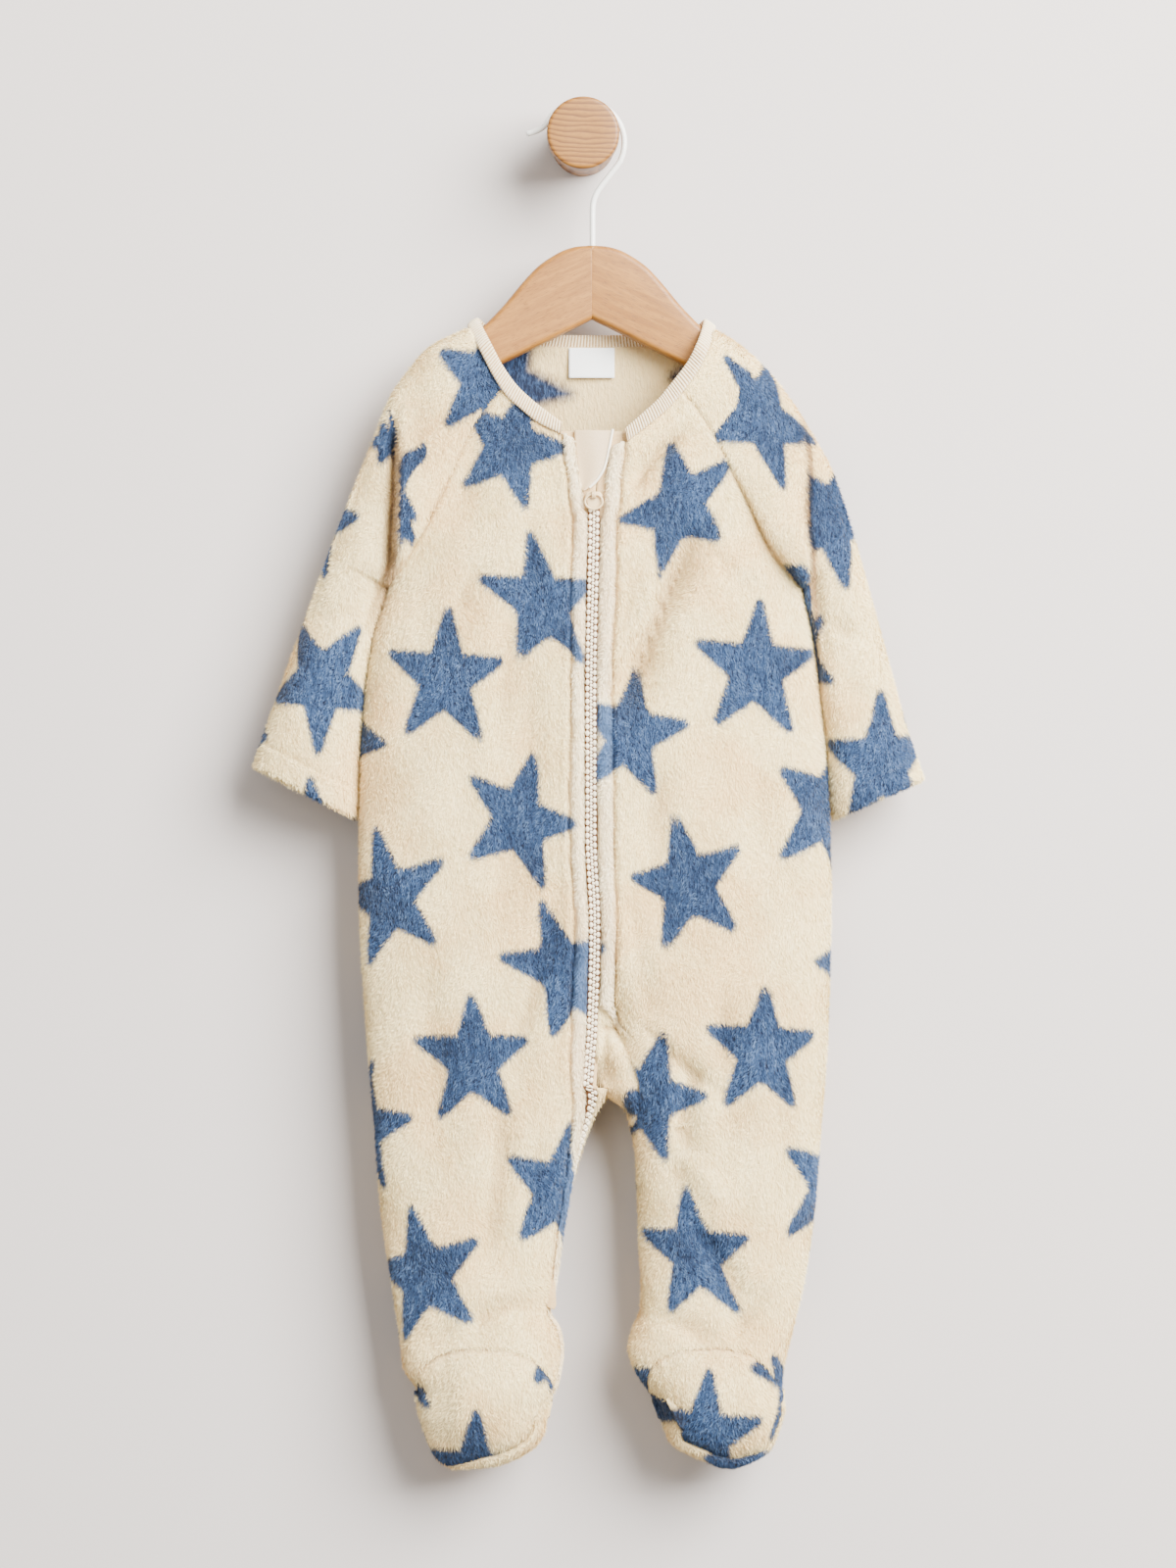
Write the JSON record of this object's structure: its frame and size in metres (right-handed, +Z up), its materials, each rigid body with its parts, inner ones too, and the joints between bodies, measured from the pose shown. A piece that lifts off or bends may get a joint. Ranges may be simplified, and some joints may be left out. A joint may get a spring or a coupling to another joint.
{
  "type": "footed baby sleepsuit on hanger and wall peg",
  "caption": "Footed fleece baby sleepsuit, cream with blue stars, zipped from the neck down one leg, on a wooden hanger with a wire hook over a round wall peg.",
  "frame": {"origin": "centre of the peg's back face, on the wall", "axes": "+Z up, +Y into the wall, +X to the right of someone who faces the garment"},
  "size_m": [0.3705, 0.0621, 0.7572],
  "materials": {
    "fleece": "printed coral fleece, cream with blue stars",
    "rib": "cream rib knit",
    "tape": "woven zip tape",
    "zip": "cream moulded plastic and painted slider",
    "satin": "beige satin",
    "label": "white satin, bare",
    "beech": "lacquered beech",
    "beech_peg": "turned pale wood",
    "white_wire": "white coated wire"
  },
  "bodies": {
    "sleepsuit": {"back": "fleece", "front_right": "fleece", "front_left": "fleece", "sleeve_right": "fleece", "sleeve_left": "fleece", "vamp_right": "fleece", "vamp_left": "fleece", "sole_right": "fleece", "sole_left": "fleece", "neck_binding": "rib", "neck_label": "label", "zip_tape_right": "tape", "zip_tape_left": "tape", "zip_chain": "zip", "zip_slider": "zip", "zip_guard": "satin", "hanger_arm_right": "beech", "hanger_arm_left": "beech", "hanger_hook": "white_wire", "wall_peg": "beech_peg"},
    "pull": {"zip_pull": "zip"}
  },
  "joints": [
    {"name": "pull_hinge", "type": "hinge", "parent": "sleepsuit", "child": "pull", "pos_m": [0.0059, -0.0593, -0.1994], "axis": [-1, 0, 0], "range_deg": [0, 100]}
  ]
}
